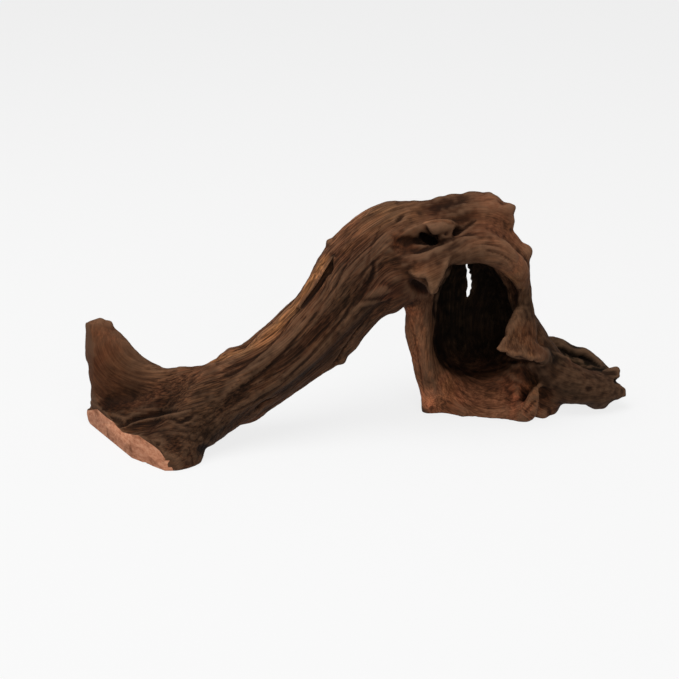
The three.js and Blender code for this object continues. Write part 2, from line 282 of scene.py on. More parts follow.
def plate(name, corners, thickness):
    """A flat plate inside an outline of places, thickened evenly to both sides."""
    bpy.ops.object.select_all(action="DESELECT")
    bpy.ops.mesh.primitive_circle_add(vertices=len(corners), radius=0.1, fill_type="NGON")
    made = bpy.context.object
    made.name = name
    set_points(made, np.array(corners))
    bpy.ops.object.mode_set(mode="EDIT")
    bpy.ops.mesh.select_all(action="SELECT")
    bpy.ops.mesh.quads_convert_to_tris(ngon_method="BEAUTY")
    bpy.ops.mesh.normals_make_consistent(inside=False)
    bpy.ops.object.mode_set(mode="OBJECT")
    apply_modifier(made, "SOLIDIFY", thickness=thickness * MM, offset=0.0)
    return made


def flap(name, outline, thickness):
    """A thin plate of wood inside an outline of pixels with their depths."""
    return plate(name, [seen_at(*row) for row in outline], thickness)


# Work on the surface: each stroke is named, drawn on the picture and pressed in or raised


def surface_of(piece):
    faces = [face.vertices for face in piece.data.polygons]
    return BVHTree.FromPolygons([vertex.co for vertex in piece.data.vertices], faces)


def seen_on(surface, pixels):
    """The places where the camera's sight of each pixel meets the surface, and the way it faces there."""
    places, facing = [], []
    start = Vector(to_part(eye()))
    for px, py in pixels:
        hit, normal, _, _ = surface.ray_cast(start, Vector(sight(px, py)).normalized())
        if hit is not None:
            places.append(from_part(hit))
            facing.append(np.array(normal))
    return np.array(places), np.array(facing)


def distance_to(points, line):
    """Distance of each point to a bent line, and how far along the line its nearest place is."""
    best = np.full(len(points), 1e9)
    share = np.zeros(len(points))
    for i in range(len(line) - 1):
        a, d = line[i], line[i + 1] - line[i]
        t = np.clip(((points - a) @ d) / max(d @ d, 1e-9), 0, 1)
        gap = np.linalg.norm(points - a - t[:, None] * d, axis=1)
        closer = gap < best
        best[closer] = gap[closer]
        share[closer] = (i + t[closer]) / (len(line) - 1)
    return best, share


def work_strokes(piece, strokes):
    """Each stroke tapers to its ends, wanders a little in width and leaves what faces away from it."""
    p, n, surface = points_of(piece), normals_of(piece), surface_of(piece)
    move = np.zeros(len(p))
    for name, pixels, width, depth, sharp in strokes:
        places, facing = seen_on(surface, pixels)
        if len(places) < 2:
            print("stroke misses the wood:", name)
            continue
        line = smooth_line(places, 6)
        reach = 60 + np.ptp(line, axis=0).max()
        near = np.where(np.linalg.norm(p - line.mean(0), axis=1) < reach)[0]
        gap, share = distance_to(p[near], line)
        wander = 1 + 0.35 * noise(p[near] / 6.0, 7)
        ends = np.sqrt(np.clip(np.sin(np.pi * np.clip(share * 0.96 + 0.02, 0, 1)), 0.12, 1))
        shape = np.clip(1 - gap / (width * wander * (0.4 + 0.6 * ends)), 0, 1) ** sharp
        front = ease(-0.1, 0.35, n[near] @ unit(facing.mean(0)))
        move[near] -= depth * ease(0, 1, shape) * ends * front
    set_points(piece, p + n * move[:, None])


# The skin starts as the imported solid's own shape

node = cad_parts["driftwood"]
skin = bpy.data.objects.new("driftwood_skin", node.data.copy())
bpy.context.scene.collection.objects.link(skin)
pick(skin)
bpy.ops.object.mode_set(mode="EDIT")
bpy.ops.mesh.select_all(action="SELECT")
bpy.ops.mesh.remove_doubles(threshold=1e-6)
bpy.ops.object.mode_set(mode="OBJECT")
skin.data.materials.clear()
apply_modifier(skin, "SUBSURF", levels=1, render_levels=1)

# Places where one form runs into the next without a step: a pixel, how far it reaches in millimetres
# and how many rounds of evening out. The first are on the solid's shape, the second on the fine skin.
MELTS = [
    ("limb into the fin's slope", (184, 391), 25, 80),
    ("limb into the lobe", (186, 418), 20, 14),
    ("haunch over the hollow", (436, 214), 10, 8),
    ("bar into the arch", (498, 240), 15, 12),
    ("hood into the leg", (538, 326), 11, 8),
]
FINE_MELTS = [
    ("left end of the lid", (414, 225), 9, 16),
    ("limb into the fin's slope, low", (182, 402), 18, 30),
    ("hook at the lid's right end", (452, 235), 5, 8),
    ("hood's corner at the leg", (549, 357), 9, 16),
    ("pit beside the knob", (521, 380), 12, 30),
]


def melt(piece, rows):
    edges = edges_of(piece)
    for name, pixel, reach, rounds in rows:
        places, _ = seen_on(surface_of(piece), [pixel])
        if not len(places):
            print("melt misses the wood:", name)
            continue
        p = points_of(piece)
        share = np.clip(1.6 - 1.6 * np.linalg.norm(p - places[0], axis=1) / reach, 0, 1)[:, None]
        for _ in range(rounds):
            p = p + share * 0.6 * (average_round(p, edges) - p)
        set_points(piece, p)


melt(skin, MELTS)

# name, pixels along it, half width, depth (below zero it is raised), sharpness
FIRST_STROKES = [
    ("pocket under the ledge", [(412, 283), (419, 288), (427, 293)], 6.0, 7.0, 1.0),
    ("wall behind the tooth", [(448, 270), (443, 284), (438, 300), (436, 314)], 7.0, 6.0, 1.0),
    ("lobe beside the hollow", [(438, 240), (446, 240), (453, 236)], 6.0, -6.5, 1.0),
    ("fill between bar and arch", [(474, 231), (490, 236), (506, 246), (516, 258)], 7.0, -2.4, 1.0),
]
work_strokes(skin, FIRST_STROKES)

cut(
    skin,
    flap(
        "gap_beside_the_lid",
        [
            (402, 229, -4), (409, 224.5, -2.5), (418, 221.8, -0.5), (424.5, 222.5, 0.5), (428, 227, 1),
            (430.5, 232.5, 1.5), (436, 237.5, 2.5), (440, 241, 3), (430, 242, 2), (414, 240, -0.5),
            (404, 236, -3),
        ],
        13.0,
    ),
)

details = [
    flap(
        "lower_lip_of_the_hollow",
        [
            (398, 242, 9), (408, 243.5, 9), (420, 245.5, 8), (432, 246.5, 7), (445, 244, 6), (450, 250, 4),
            (432, 256, 4), (412, 257, 4), (398, 252, 6),
        ],
        5.0,
    ),
    flap(
        "tooth_flap",
        [
            (406, 270, -4), (415, 277.5, -8.5), (426, 278, -10), (428, 285, -11.5), (430.5, 295.5, -12.5),
            (433, 294, -12), (438, 287, -11), (443.5, 277, -9), (447.5, 267, -7), (448, 260, -4),
            (436, 255, -3), (420, 259, -4),
        ],
        2.6,
    ),
    flap(
        "lip_of_the_hood",
        [
            (511, 330, 10), (503, 338, 6), (496.5, 349, 2), (501, 352, 1), (507, 352, 0.5), (514, 357, 0.5),
            (522, 355, 1), (531, 361, 5), (538, 358, 8), (547, 364, 17), (546, 352, 17), (528, 337, 11),
        ],
        3.0,
    ),
    knotty_bar("upper_horn", [(164, 42, 18, 4.0), (171, 44, 21.5, 3.0), (177, 45, 23.5, 2.2)]),
    knotty_bar("lower_horn", [(168, 37, 9.5, 4.6), (175, 36, 10, 3.2), (180.5, 36, 10.5, 1.8)]),
    knotty_bar("slit_plug", [(81, 70, 87, 3.5), (82, 74, 72, 5.0), (83, 76.5, 58, 4.0)]),
    knotty_bar("crack_plug", [(-2, 8, 108, 3.5), (-8, 6, 100, 4.5), (-16, 3, 90, 4.5), (-24, 0, 80, 3.5)]),
]
join_into(skin, details)
apply_modifier(
    skin,
    "REMESH",
    mode="VOXEL",
    voxel_size=SKIN_CELL * MM * 1.0,
    adaptivity=0.0,
)
soften(skin, 6)
melt(skin, FINE_MELTS)

# Small pushes that bring the outline true: the pixel, how far it reaches, and the push across and
# up, all in pixels, then the push towards the back in millimetres.
NUDGES = [
    ("fin's edge", (86, 345), 26, (-2.5, 0, 0)),
    ("fin's top, left", (93, 318), 8, (0, -2.5, 0)),
    ("corner of the fin's top", (86, 326), 6, (-2.5, 2, 0)),
    ("fin's top, right", (110, 323), 7, (2, 2, 0)),
    ("notch over the saw cut", (90, 406), 7, (4, 0, 0)),
    ("saddle", (178, 368), 14, (0, 2, 0)),
    ("dip of the limb", (210, 361), 9, (0, 3, 0)),
    ("limb's upper edge, low", (243, 341), 18, (0, -3, 0)),
    ("limb's upper edge", (300, 288), 34, (2.2, -2.6, 0)),
    ("knob on the upper edge", (328, 241), 6, (-2.5, 1.5, 0)),
    ("lobe's right end", (205, 452), 12, (-4, 3, 0)),
    ("limb's underside", (255, 416), 14, (0, -2, 0)),
    ("limb's underside, high", (355, 345), 14, (1.2, -1.2, 0)),
    ("bump under the limb", (344, 362), 8, (1, -3, 0)),
    ("top of the underpass", (396, 311), 10, (0, -1.5, 0)),
    ("edge of the left wall", (406, 335), 26, (-3.5, 0, 0)),
    ("left wall, low", (417, 392), 18, (1.8, 0, 0)),
    ("haunch's top", (437, 198), 8, (0, 1.2, 0)),
    ("arch's top", (462, 195), 10, (0, -1.5, 0)),
    ("roof of the cave", (453, 269), 8, (0, 3, 0)),
    ("arch's crown", (490, 193), 7, (0, 2, 0)),
    ("before the top corner", (503, 200), 8, (-1, -3, 0)),
    ("top corner", (514, 208), 8, (3.0, 2.0, 0)),
    ("below the top corner", (513, 222), 9, (3, 0, 0)),
    ("bump at the arch's right", (529, 250), 12, (5, 1.5, 0)),
    ("right leg", (538, 300), 30, (-2.5, 0, 0)),
    ("base at the left", (440, 412), 24, (0, 0, 6)),
    ("base in the middle", (468, 417), 18, (0, 0, 3.5)),
    ("base at the right", (520, 420), 14, (0, 0, -2)),
    ("base under the gap", (542, 415), 9, (0, 0, -5)),
    ("back wall of the trough", (575, 344), 14, (0, -4, 0)),
    ("underside of the outer root", (583, 408), 16, (0, 2.5, 0)),
    ("underside of the lower horn", (612, 403), 9, (0, 2, 0)),
    ("gap between the horns", (618, 381), 5, (-6, 0, 0)),
]


def nudge(piece):
    p = points_of(piece)
    place = picture_place(p)
    for name, pixel, reach, (across, up, back) in NUDGES:
        gap = np.linalg.norm(place - np.array(pixel), axis=1) / reach
        share = np.clip(1 - gap * gap, 0, 1) ** 2
        if back:
            share = share * ease(26, 8, p[:, 2])
        p += share[:, None] * np.array((across * PIXEL, back, up * PIXEL / math.cos(ELEVATION)))
    set_points(piece, p)


nudge(skin)


# Grain. The wood grew along a line from the tip of the fin over the arch to the outer root, and
# up and down in the shell.

GROWTH = [
    (-147, 16, 66), (-145, 15, 50), (-139, 12, 38), (-128, 6, 31), (-114, 0, 28.5), (-98, -4, 30),
    (-82, -6, 33.5), (-65, -5, 38.5), (-48, -3, 45), (-31, 1, 54), (-15, 7, 67), (-1, 12, 81), (11, 16, 92),
    (27, 20, 103), (43, 25, 109), (61, 28, 114), (79, 32, 115), (95, 36, 108), (106, 36, 95),
    (112, 35, 75), (118, 35, 52), (128, 36, 30), (150, 36, 18), (178, 38, 14),
]


def growth_frames():
    line = smooth_line(GROWTH, 5)
    ahead = np.gradient(line, axis=0)
    ahead /= np.linalg.norm(ahead, axis=1)[:, None]
    step = np.linalg.norm(np.diff(line, axis=0), axis=1)
    along = np.concatenate(((0.0,), np.cumsum(step)))
    side = np.empty_like(line)
    current = np.array((0.0, 1.0, 0.0))
    for i, t in enumerate(ahead):
        current = current - t * (current @ t)
        current /= np.linalg.norm(current)
        side[i] = current
    return line, ahead, side, np.cross(ahead, side), along


# Places that the grain goes round: x, y, z and how far it is turned aside
KNOTS = [
    (46, 2, 119, 17), (36, -4, 124, 8), (37, -2, 93, 13), (-14, 3, 92, 10), (62, 4, 122, 10),
    (-75, -12, 12, 9),
]


def along_growth(points):
    """Coordinates that follow the growth line: the way along it and two ways across, and the distance."""
    line, ahead, side, up, along = growth_frames()
    points = points.copy()
    for x, y, z, reach in KNOTS:
        gap = points - (x, y, z)
        pull = 0.62 * np.exp(-((np.linalg.norm(gap, axis=1) / reach) ** 2))
        points -= gap * pull[:, None]
    out = np.empty((len(points), 3))
    away = np.empty(len(points))
    for start in range(0, len(points), POINTS_AT_ONCE):
        block = slice(start, start + POINTS_AT_ONCE)
        p = points[block]
        gap = p[:, None, :] - line[None]
        far = np.linalg.norm(gap, axis=2)
        near = far.min(axis=1)
        weight = np.exp(-(far - near[:, None]) / 4.0)
        weight /= weight.sum(axis=1)[:, None]
        s = along[None] + np.einsum("ijk,jk->ij", gap, ahead)
        a = np.einsum("ijk,jk->ij", gap, side)
        b = np.einsum("ijk,jk->ij", gap, up)
        turn = GRAIN_TWIST * s
        out[block, 0] = (s * weight).sum(axis=1)
        out[block, 1] = ((a * np.cos(turn) - b * np.sin(turn)) * weight).sum(axis=1)
        out[block, 2] = ((a * np.sin(turn) + b * np.cos(turn)) * weight).sum(axis=1)
        away[block] = near
    return out, away


def along_shell(points):
    """The same for the shell, whose grain runs down its walls and turns across its floor."""
    x, y, z = points.T
    middle = 44 - 120 * ease(52, 76, y)
    side = x - 86
    below = np.minimum(z - middle, 0)
    out = np.hypot(side, below)
    turn = np.arctan2(-below, np.abs(side) + 1e-6)
    along = np.where(z > middle, z - middle, -turn * 38)
    return np.stack((along, out + 4 * np.sin(z / 25), y + 0.55 * side - 0.1 * z), axis=1)


def shell_share(points, away):
    """How much of a place belongs to the shell's upright grain."""
    low = ease(99, 84, points[:, 2])
    right = ease(34, 46, points[:, 0]) * ease(134, 120, points[:, 0] + 0.3 * (60 - points[:, 2]))
    return low * right * ease(11, 17, away)


def streaks(ways, seed, stretch):
    """Noise stretched along the grain, from the ways along the growth and the shell and the shell's share."""
    flow, upright, share = ways
    scale = np.array(stretch, float)
    first = noise(flow / scale + seed * 1.7, seed)
    second = noise(upright / scale + seed * 2.3, seed + 50)
    return first * (1 - share) + second * share


# name, pixels along it, half width, depth (below zero it is raised), sharpness
STROKES = [
    ("crease at the fin's foot", [(112, 414), (124, 424), (132, 420), (155, 415), (176, 411)], 4.0, 2.4, 1.2),
    ("ridge of the lobe", [(123, 428), (134, 423), (155, 419), (172, 416), (190, 411)], 2.6, -1.3, 1.0),
    ("pit in the lobe", [(157, 442), (162, 444)], 2.6, 1.8, 1.0),
    ("crease over the lobe", [(168, 418), (180, 421), (192, 417)], 2.2, 1.6, 1.0),
    (
        "groove under the limb's upper edge",
        [(205, 384), (235, 372), (268, 347), (296, 313), (305, 299)],
        1.9, 1.0, 1.2,
    ),
    (
        "ridge on the limb's upper edge",
        [(214, 364), (238, 352), (262, 334), (288, 306), (308, 277), (325, 247), (345, 225), (372, 211)],
        3.0, -1.0, 1.0,
    ),
    ("second groove", [(215, 398), (245, 386), (280, 356), (312, 318), (338, 280), (352, 250)], 1.9, 0.9, 1.3),
    ("third groove", [(225, 415), (262, 398), (300, 366), (335, 328), (360, 292), (372, 262)], 1.9, 0.9, 1.2),
    (
        "groove near the lower edge",
        [(318, 375), (333, 366), (345, 348), (356, 332), (363, 324)],
        2.4, 2.4, 1.2,
    ),
    ("pocket on the underside", [(256, 410), (264, 404), (273, 399)], 4.4, 3.4, 1.0),
    ("ridge by the arch", [(352, 312), (362, 305), (376, 302), (386, 300)], 2.4, -1.2, 1.0),
    ("lump under the arch", [(368, 296), (380, 292), (392, 290)], 5.0, -1.4, 1.0),
    ("crease above the lump", [(358, 300), (366, 288), (372, 276), (374, 262)], 2.6, 1.8, 1.2),
    ("crease on the haunch", [(352, 300), (366, 268), (374, 240), (382, 222)], 1.8, 0.7, 1.2),
    ("small pit in the arch", [(395, 222), (403, 216)], 1.9, 2.4, 1.0),
    ("hollow, shaded side", [(396, 240), (406, 240), (416, 240)], 5.0, 1.4, 1.0),
    ("hollow, deepest", [(421, 234), (427, 239), (435, 241)], 3.6, 5.0, 1.0),
    ("second hole", [(454, 235), (458, 231), (463, 229)], 3.2, 4.4, 1.0),
    ("crack from the second hole", [(462, 230), (468, 226), (476, 221)], 1.5, 1.6, 1.0),
    ("edge of the shelf", [(424, 223), (434, 221), (448, 221), (456, 224)], 1.3, -0.9, 1.0),
    ("light bar", [(400, 268), (414, 259), (438, 249), (462, 240), (486, 236)], 4.6, -1.2, 1.0),
    ("crease over the bar", [(405, 262), (424, 250), (448, 240), (470, 234)], 2.0, 1.2, 1.0),
    ("fine crack at the arch's right", [(474, 244), (492, 244), (508, 251)], 1.3, 1.0, 1.0),
    ("lower crack at the arch's right", [(486, 250), (500, 254), (516, 264)], 1.3, 1.0, 1.0),
    ("ridge down the left wall", [(416, 318), (421, 340), (425, 370), (431, 405)], 2.0, -1.0, 1.0),
    ("groove beside it", [(411, 322), (416, 345), (420, 372), (426, 405)], 1.9, 1.1, 1.0),
    ("ridge on the wall's edge", [(407, 322), (411, 350), (416, 380), (423, 407)], 1.9, -0.8, 1.0),
    ("lip of the hood", [(498, 350), (510, 354), (524, 356), (540, 359)], 1.9, -0.8, 1.0),
    ("shadow under the hood", [(500, 360), (514, 361), (530, 362), (544, 364)], 2.6, 2.2, 1.0),
    ("fill beside the knob", [(510, 375), (519, 380), (527, 386)], 7.0, -3.2, 1.0),
    ("fill below the knob", [(509, 385), (517, 393), (519, 406)], 6.0, -3.0, 1.0),
    ("knob on the lip", [(526, 386), (535, 388)], 3.0, -1.2, 1.0),
    ("rough gap by the foot", [(524, 413), (534, 404), (543, 396)], 4.0, 2.4, 1.0),
    ("rim of the trough", [(552, 352), (566, 358), (582, 366), (598, 371)], 2.0, -0.9, 1.0),
    ("trough", [(560, 349), (576, 354), (588, 359), (598, 365)], 4.6, 4.6, 1.0),
    ("dent in the outer root", [(585, 388), (592, 390)], 3.0, 1.0, 1.0),
]


work_strokes(skin, STROKES)
soften(skin, 1)


# Grain and weathering in relief


def relief(piece):
    p, n = points_of(piece), normals_of(piece)
    flow, away = along_growth(p)
    upright = shell_share(p, away)
    ways = (flow, along_shell(p), upright)
    fin = ease(-112, -128, p[:, 0]) * ease(16, 30, p[:, 2])
    knotty = ease(24, 48, p[:, 0]) * (1 - upright)
    calm = (1 - 0.65 * fin) * (1 - 0.55 * knotty)
    deep = ease(-0.25, 0.55, noise(p / 34.0, 77))
    wave = streaks(ways, 3, (60, 17, 17))
    ribs = streaks(ways, 17, (70, 5.5, 5.5))
    cracks = np.clip(1 - np.abs(streaks(ways, 11, (120, 8.5, 8.5))) * 9, 0, 1)
    lines = np.clip(1 - np.abs(streaks(ways, 23, (70, 4.0, 4.0))) * 5, 0, 1)
    hair = streaks(ways, 31, (34, 2.3, 2.3))
    lumps = noise(p / 18.0, 41) + knotty * noise(p / 9.0, 43)
    rough = (0.4 + 0.35 * knotty) * (noise(p / 4.5, 47) * 0.24 + noise(p / 2.6, 53) * 0.16)
    height = calm * (
        0.20 * wave + 0.12 * ribs - (0.10 + 0.26 * deep) * cracks - 0.20 * lines + 0.24 * hair
    ) + 0.34 * lumps + 1.3 * rough
    set_points(piece, p + n * (height + 0.15)[:, None])


relief(skin)


# Saw cuts, feet and the box of the solid

# A place on each saw cut and the way that it faces: at the fin's end, then along the lobe
SAW_CUTS = [
    ((-141, -9, 6), (-0.85, -0.525, 0.05)),
    ((-112, -48.5, 0), (-0.65, -0.76, 0.03)),
]

# Pushes that give the lobe's cut its outline: the pixel, the size of the place in millimetres, and
# the push along the way that the cut faces
CUT_PUSHES = [
    ("above the fresh wood", (171, 442), (13, 13, 15), -6.0),
    ("right end of the fresh wood", (169, 467), (9, 9, 8), 6.0),
]


def stretch_to_cuts(piece):
    """Pushes the wood a little past the saw cuts and the floor, so that each cut comes out whole."""
    p = points_of(piece)
    for point, facing in SAW_CUTS:
        facing = unit(facing)
        low = ease(26, 18, p[:, 2])
        near = ease(-7, -1.5, (p - point) @ facing) * low
        p += facing * (2.6 * near)[:, None]
    p[:, 2] -= 1.6 * ease(5, 0.5, p[:, 2])
    point, facing = np.array(SAW_CUTS[1][0]), unit(SAW_CUTS[1][1])
    for name, pixel, size, push in CUT_PUSHES:
        ray = sight(*pixel)
        place = eye() + ray * (((point - eye()) @ facing) / (ray @ facing))
        share = np.clip(1 - (((p - place) / size) ** 2).sum(axis=1), 0, 1) ** 2
        p += facing * (push * share)[:, None]
    set_points(piece, p)


stretch_to_cuts(skin)


def stay_inside(piece):
    """Presses what would stand past the solid's own box softly back inside it."""
    p = points_of(piece)
    low, high = from_part(Vector(solid_low)), from_part(Vector(solid_high))
    margin, room = 1.2, 1.1
    for k in range(3):
        over = np.maximum(p[:, k] - (high[k] - margin), 0)
        under = np.maximum((low[k] + margin) - p[:, k], 0)
        p[:, k] += -over + room * (1 - np.exp(-over / room))
        if k < 2:
            p[:, k] += under - room * (1 - np.exp(-under / room))
    set_points(piece, p)


stay_inside(skin)


def saw(piece, point, facing):
    """Takes away all that lies past a plane."""
    facing = Vector(facing).normalized()
    turn = facing.to_track_quat("Z", "Y").to_euler()
    bpy.ops.object.select_all(action="DESELECT")
    bpy.ops.mesh.primitive_cube_add(size=1, location=Vector(to_part(point)) + facing * 0.5, rotation=turn)
    blade = bpy.context.object
    bpy.ops.object.transform_apply(location=True, rotation=True, scale=True)
    cut(piece, blade)


# Narrow openings, each cut through along the camera's sight between two depths

OPENINGS = [
    (
        "crack",
        [
            (333.8, 253.5), (333.4, 262), (333.5, 268), (331.5, 272.5), (327.3, 275.5), (325, 279.5),
            (321.5, 285.5), (315, 293.5), (308, 301), (302, 307.5), (295, 314), (299.5, 306.3),
            (305.5, 297.3), (313, 287.5), (319.5, 278.2), (324, 270), (329, 262),
        ],
        -30,
        9,
    ),
    (
        "slit",
        [
            (463, 263.5), (466.4, 264.2), (466.6, 268), (469, 270), (468.4, 273), (470.8, 275), (470.2, 279),
            (471.8, 281), (470.9, 285), (471.6, 288), (470.2, 290), (470, 294), (468, 297), (466, 297),
            (465.4, 292), (466.6, 287), (466.2, 282), (464.8, 277), (465.2, 271.5), (463.6, 268),
        ],
        58,
        110,
    ),
]


def open_up(piece, name, outline, near, far):
    """Cuts an opening with the outline that the camera sees."""
    away = ((near + far) / 2 - eye()[1]) / sight(*outline[0])[1]
    corners = [eye() + sight(px, py) * away for px, py in outline]
    cut(piece, plate(name, corners, far - near))


for place, facing in SAW_CUTS:
    saw(skin, place, facing)
saw(skin, (0, 0, 0), (0, 0, -1))
for opening in OPENINGS:
    open_up(skin, *opening)


# Materials


def add(nodes, kind, **settings):
    made = nodes.new(kind)
    for name, value in settings.items():
        setattr(made, name, value)
    return made


def join(links, value, socket):
    """Links a socket, or sets a plain number or colour."""
    if isinstance(value, bpy.types.NodeSocket):
        links.new(value, socket)
    elif isinstance(value, tuple) and len(value) == 3 and len(socket.default_value) == 4:
        socket.default_value = (*value, 1)
    else:
        socket.default_value = value


def mixed(tree, kind, factor, first, second):
    mix = add(tree.nodes, "ShaderNodeMix", data_type="RGBA", blend_type=kind)
    for value, place in ((factor, 0), (first, 6), (second, 7)):
        join(tree.links, value, mix.inputs[place])
    return mix.outputs[2]


def sums(tree, operation, first, second):
    made = add(tree.nodes, "ShaderNodeMath", operation=operation)
    join(tree.links, first, made.inputs[0])
    join(tree.links, second, made.inputs[1])
    return made.outputs[0]


def cloudy(tree, place, scale, detail, roughness=0.5):
    """Noise between 0 and 1 over a place."""
    made = add(tree.nodes, "ShaderNodeTexNoise", noise_dimensions="3D")
    for name, value in (("Vector", place), ("Scale", scale), ("Detail", detail), ("Roughness", roughness)):
        join(tree.links, value, made.inputs[name])
    return made.outputs["Fac"]


def raise_grain(tree, shader, height, strength):
    bump = add(tree.nodes, "ShaderNodeBump")
    join(tree.links, strength, bump.inputs["Strength"])
    bump.inputs["Distance"].default_value = 0.8 * MM
    tree.links.new(height, bump.inputs["Height"])
    tree.links.new(bump.outputs["Normal"], shader.inputs["Normal"])


def ramp(tree, source, stops):
    made = add(tree.nodes, "ShaderNodeValToRGB")
    elements = made.color_ramp.elements
    while len(elements) > 1:
        elements.remove(elements[-1])
    elements[0].position, elements[0].color = stops[0][0], (*stops[0][1], 1)
    for position, colour in stops[1:]:
        elements.new(position).color = (*colour, 1)
    tree.links.new(source, made.inputs["Fac"])
    return made.outputs["Color"]


def grain_group():
    """Streaks that follow the wood's growth, along the limb and down the shell."""
    group = bpy.data.node_groups.new("wood_streaks", "ShaderNodeTree")
    for name, kind in (
        ("Growth", "NodeSocketVector"), ("Upright", "NodeSocketVector"), ("Shell share", "NodeSocketFloat"),
        ("Scale", "NodeSocketFloat"), ("Length", "NodeSocketFloat"), ("Detail", "NodeSocketFloat"),
    ):
        group.interface.new_socket(name, in_out="INPUT", socket_type=kind)
    group.interface.new_socket("Streak", in_out="OUTPUT", socket_type="NodeSocketFloat")
    ins, outs = add(group.nodes, "NodeGroupInput"), add(group.nodes, "NodeGroupOutput")
    stretch = add(group.nodes, "ShaderNodeCombineXYZ")
    group.links.new(sums(group, "DIVIDE", 1.0, ins.outputs["Length"]), stretch.inputs[0])
    stretch.inputs[1].default_value = stretch.inputs[2].default_value = 1.0
    found = []
    for name in ("Growth", "Upright"):
        longer = add(group.nodes, "ShaderNodeVectorMath", operation="MULTIPLY")
        group.links.new(ins.outputs[name], longer.inputs[0])
        group.links.new(stretch.outputs[0], longer.inputs[1])
        found.append(cloudy(group, longer.outputs[0], ins.outputs["Scale"], ins.outputs["Detail"], 0.62))
    blend = add(group.nodes, "ShaderNodeMix", data_type="FLOAT")
    for value, place in ((ins.outputs["Shell share"], 0), (found[0], 2), (found[1], 3)):
        group.links.new(value, blend.inputs[place])
    group.links.new(blend.outputs[0], outs.inputs["Streak"])
    return group


WOOD_STREAKS = grain_group()


def streak_node(tree, scale, length, detail):
    made = add(tree.nodes, "ShaderNodeGroup")
    made.node_tree = WOOD_STREAKS
    for name, attribute in (("Growth", "growth"), ("Upright", "upright"), ("Shell share", "shell_share")):
        source = add(tree.nodes, "ShaderNodeAttribute", attribute_name=attribute)
        tree.links.new(source.outputs["Fac" if name == "Shell share" else "Vector"], made.inputs[name])
    made.inputs["Scale"].default_value = scale
    made.inputs["Length"].default_value = length
    made.inputs["Detail"].default_value = detail
    return made.outputs["Streak"]


def new_wood(name, roughness):
    material = bpy.data.materials.new(name)
    material.use_nodes = True
    shader = material.node_tree.nodes["Principled BSDF"]
    shader.inputs["Roughness"].default_value = roughness
    shader.inputs["Specular IOR Level"].default_value = 0.06
    return material, material.node_tree, shader


# The weathered finish, with painted shade in grooves, hollows and the cave and painted highlights on some
# edges, all multiplied into its base colour.
def weathered_wood():
    material, tree, shader = new_wood("weathered_wood", 0.85)

    def attribute(name, output="Fac"):
        return add(tree.nodes, "ShaderNodeAttribute", attribute_name=name).outputs[output]

    broad = streak_node(tree, 0.10, 8.0, 3.0)
    fine = streak_node(tree, 0.50, 20.0, 4.0)
    hair = streak_node(tree, 1.1, 40.0, 2.0)
    base = ramp(
        tree,
        broad,
        [
            (0.30, (0.037, 0.0146, 0.0070)),
            (0.43, (0.048, 0.0193, 0.0092)),
            (0.56, (0.059, 0.0241, 0.0114)),
            (0.74, (0.080, 0.0337, 0.0162)),
        ],
    )
    threads = ramp(
        tree,
        fine,
        [(0.32, (0.66, 0.64, 0.62)), (0.5, (1.0, 1.0, 1.0)), (0.68, (1.36, 1.38, 1.38))],
    )
    place = add(tree.nodes, "ShaderNodeTexCoord").outputs["Object"]
    tints = ramp(
        tree,
        cloudy(tree, place, 30.0, 2.0),
        [
            (0.32, (0.86, 0.92, 0.92)),
            (0.46, (1.0, 1.0, 1.0)),
            (0.56, (1.08, 0.98, 0.95)),
            (0.68, (1.16, 1.12, 1.0)),
        ],
    )
    grain = attribute("grain")
    colour = mixed(tree, "MULTIPLY", grain, base, threads)
    colour = mixed(tree, "MULTIPLY", 1.0, colour, tints)
    # Patch tints, among them painted shade in recesses and painted highlights on lit edges.
    colour = mixed(tree, "MULTIPLY", 1.0, colour, attribute("tint_with_painted_light", "Color"))
    lines = ramp(tree, hair, [(0.37, (0.36, 0.35, 0.34)), (0.5, (1.0, 1.0, 1.0)), (0.63, (1.9, 1.9, 1.85))])
    colour = mixed(tree, "MULTIPLY", grain, colour, lines)
    # Painted shade: concave places are mixed towards near black.
    colour = mixed(tree, "MIX", attribute("groove"), colour, (0.0075, 0.0038, 0.0022))
    colour = mixed(tree, "MIX", attribute("crest"), colour, (0.17, 0.092, 0.052))
    # Painted shade where little open sky reaches, and painted light on faces that look up.
    colour = mixed(tree, "MULTIPLY", 1.0, colour, attribute("painted_sky_light", "Color"))
    tree.links.new(colour, shader.inputs["Base Color"])

    height = sums(tree, "ADD", sums(tree, "MULTIPLY", fine, 0.9), sums(tree, "MULTIPLY", hair, 0.7))
    raise_grain(tree, shader, height, grain)
    return material


def sawn_wood():
    material, tree, shader = new_wood("sawn_wood", 0.8)
    place = add(tree.nodes, "ShaderNodeTexCoord").outputs["Object"]
    turned = add(tree.nodes, "ShaderNodeMapping", vector_type="POINT")
    tree.links.new(place, turned.inputs["Vector"])
    turned.inputs["Rotation"].default_value = (0, 0, math.radians(60))
    turned.inputs["Scale"].default_value = (1, 3.5, 5.0)
    grain = cloudy(tree, turned.outputs["Vector"], 90.0, 5.0, 0.65)
    base = ramp(
        tree,
        grain,
        [(0.30, (0.28, 0.108, 0.057)), (0.48, (0.45, 0.190, 0.106)), (0.70, (0.58, 0.29, 0.172))],
    )
    spots = ramp(
        tree,
        cloudy(tree, place, 110.0, 3.0),
        [(0.30, (0.42, 0.36, 0.32)), (0.44, (1.0, 1.0, 1.0)), (0.7, (1.08, 1.1, 1.12))],
    )
    tree.links.new(mixed(tree, "MULTIPLY", 0.9, base, spots), shader.inputs["Base Color"])
    raise_grain(tree, shader, grain, 0.7)
    return material


skin.data.materials.clear()
skin.data.materials.append(weathered_wood())
skin.data.materials.append(sawn_wood())


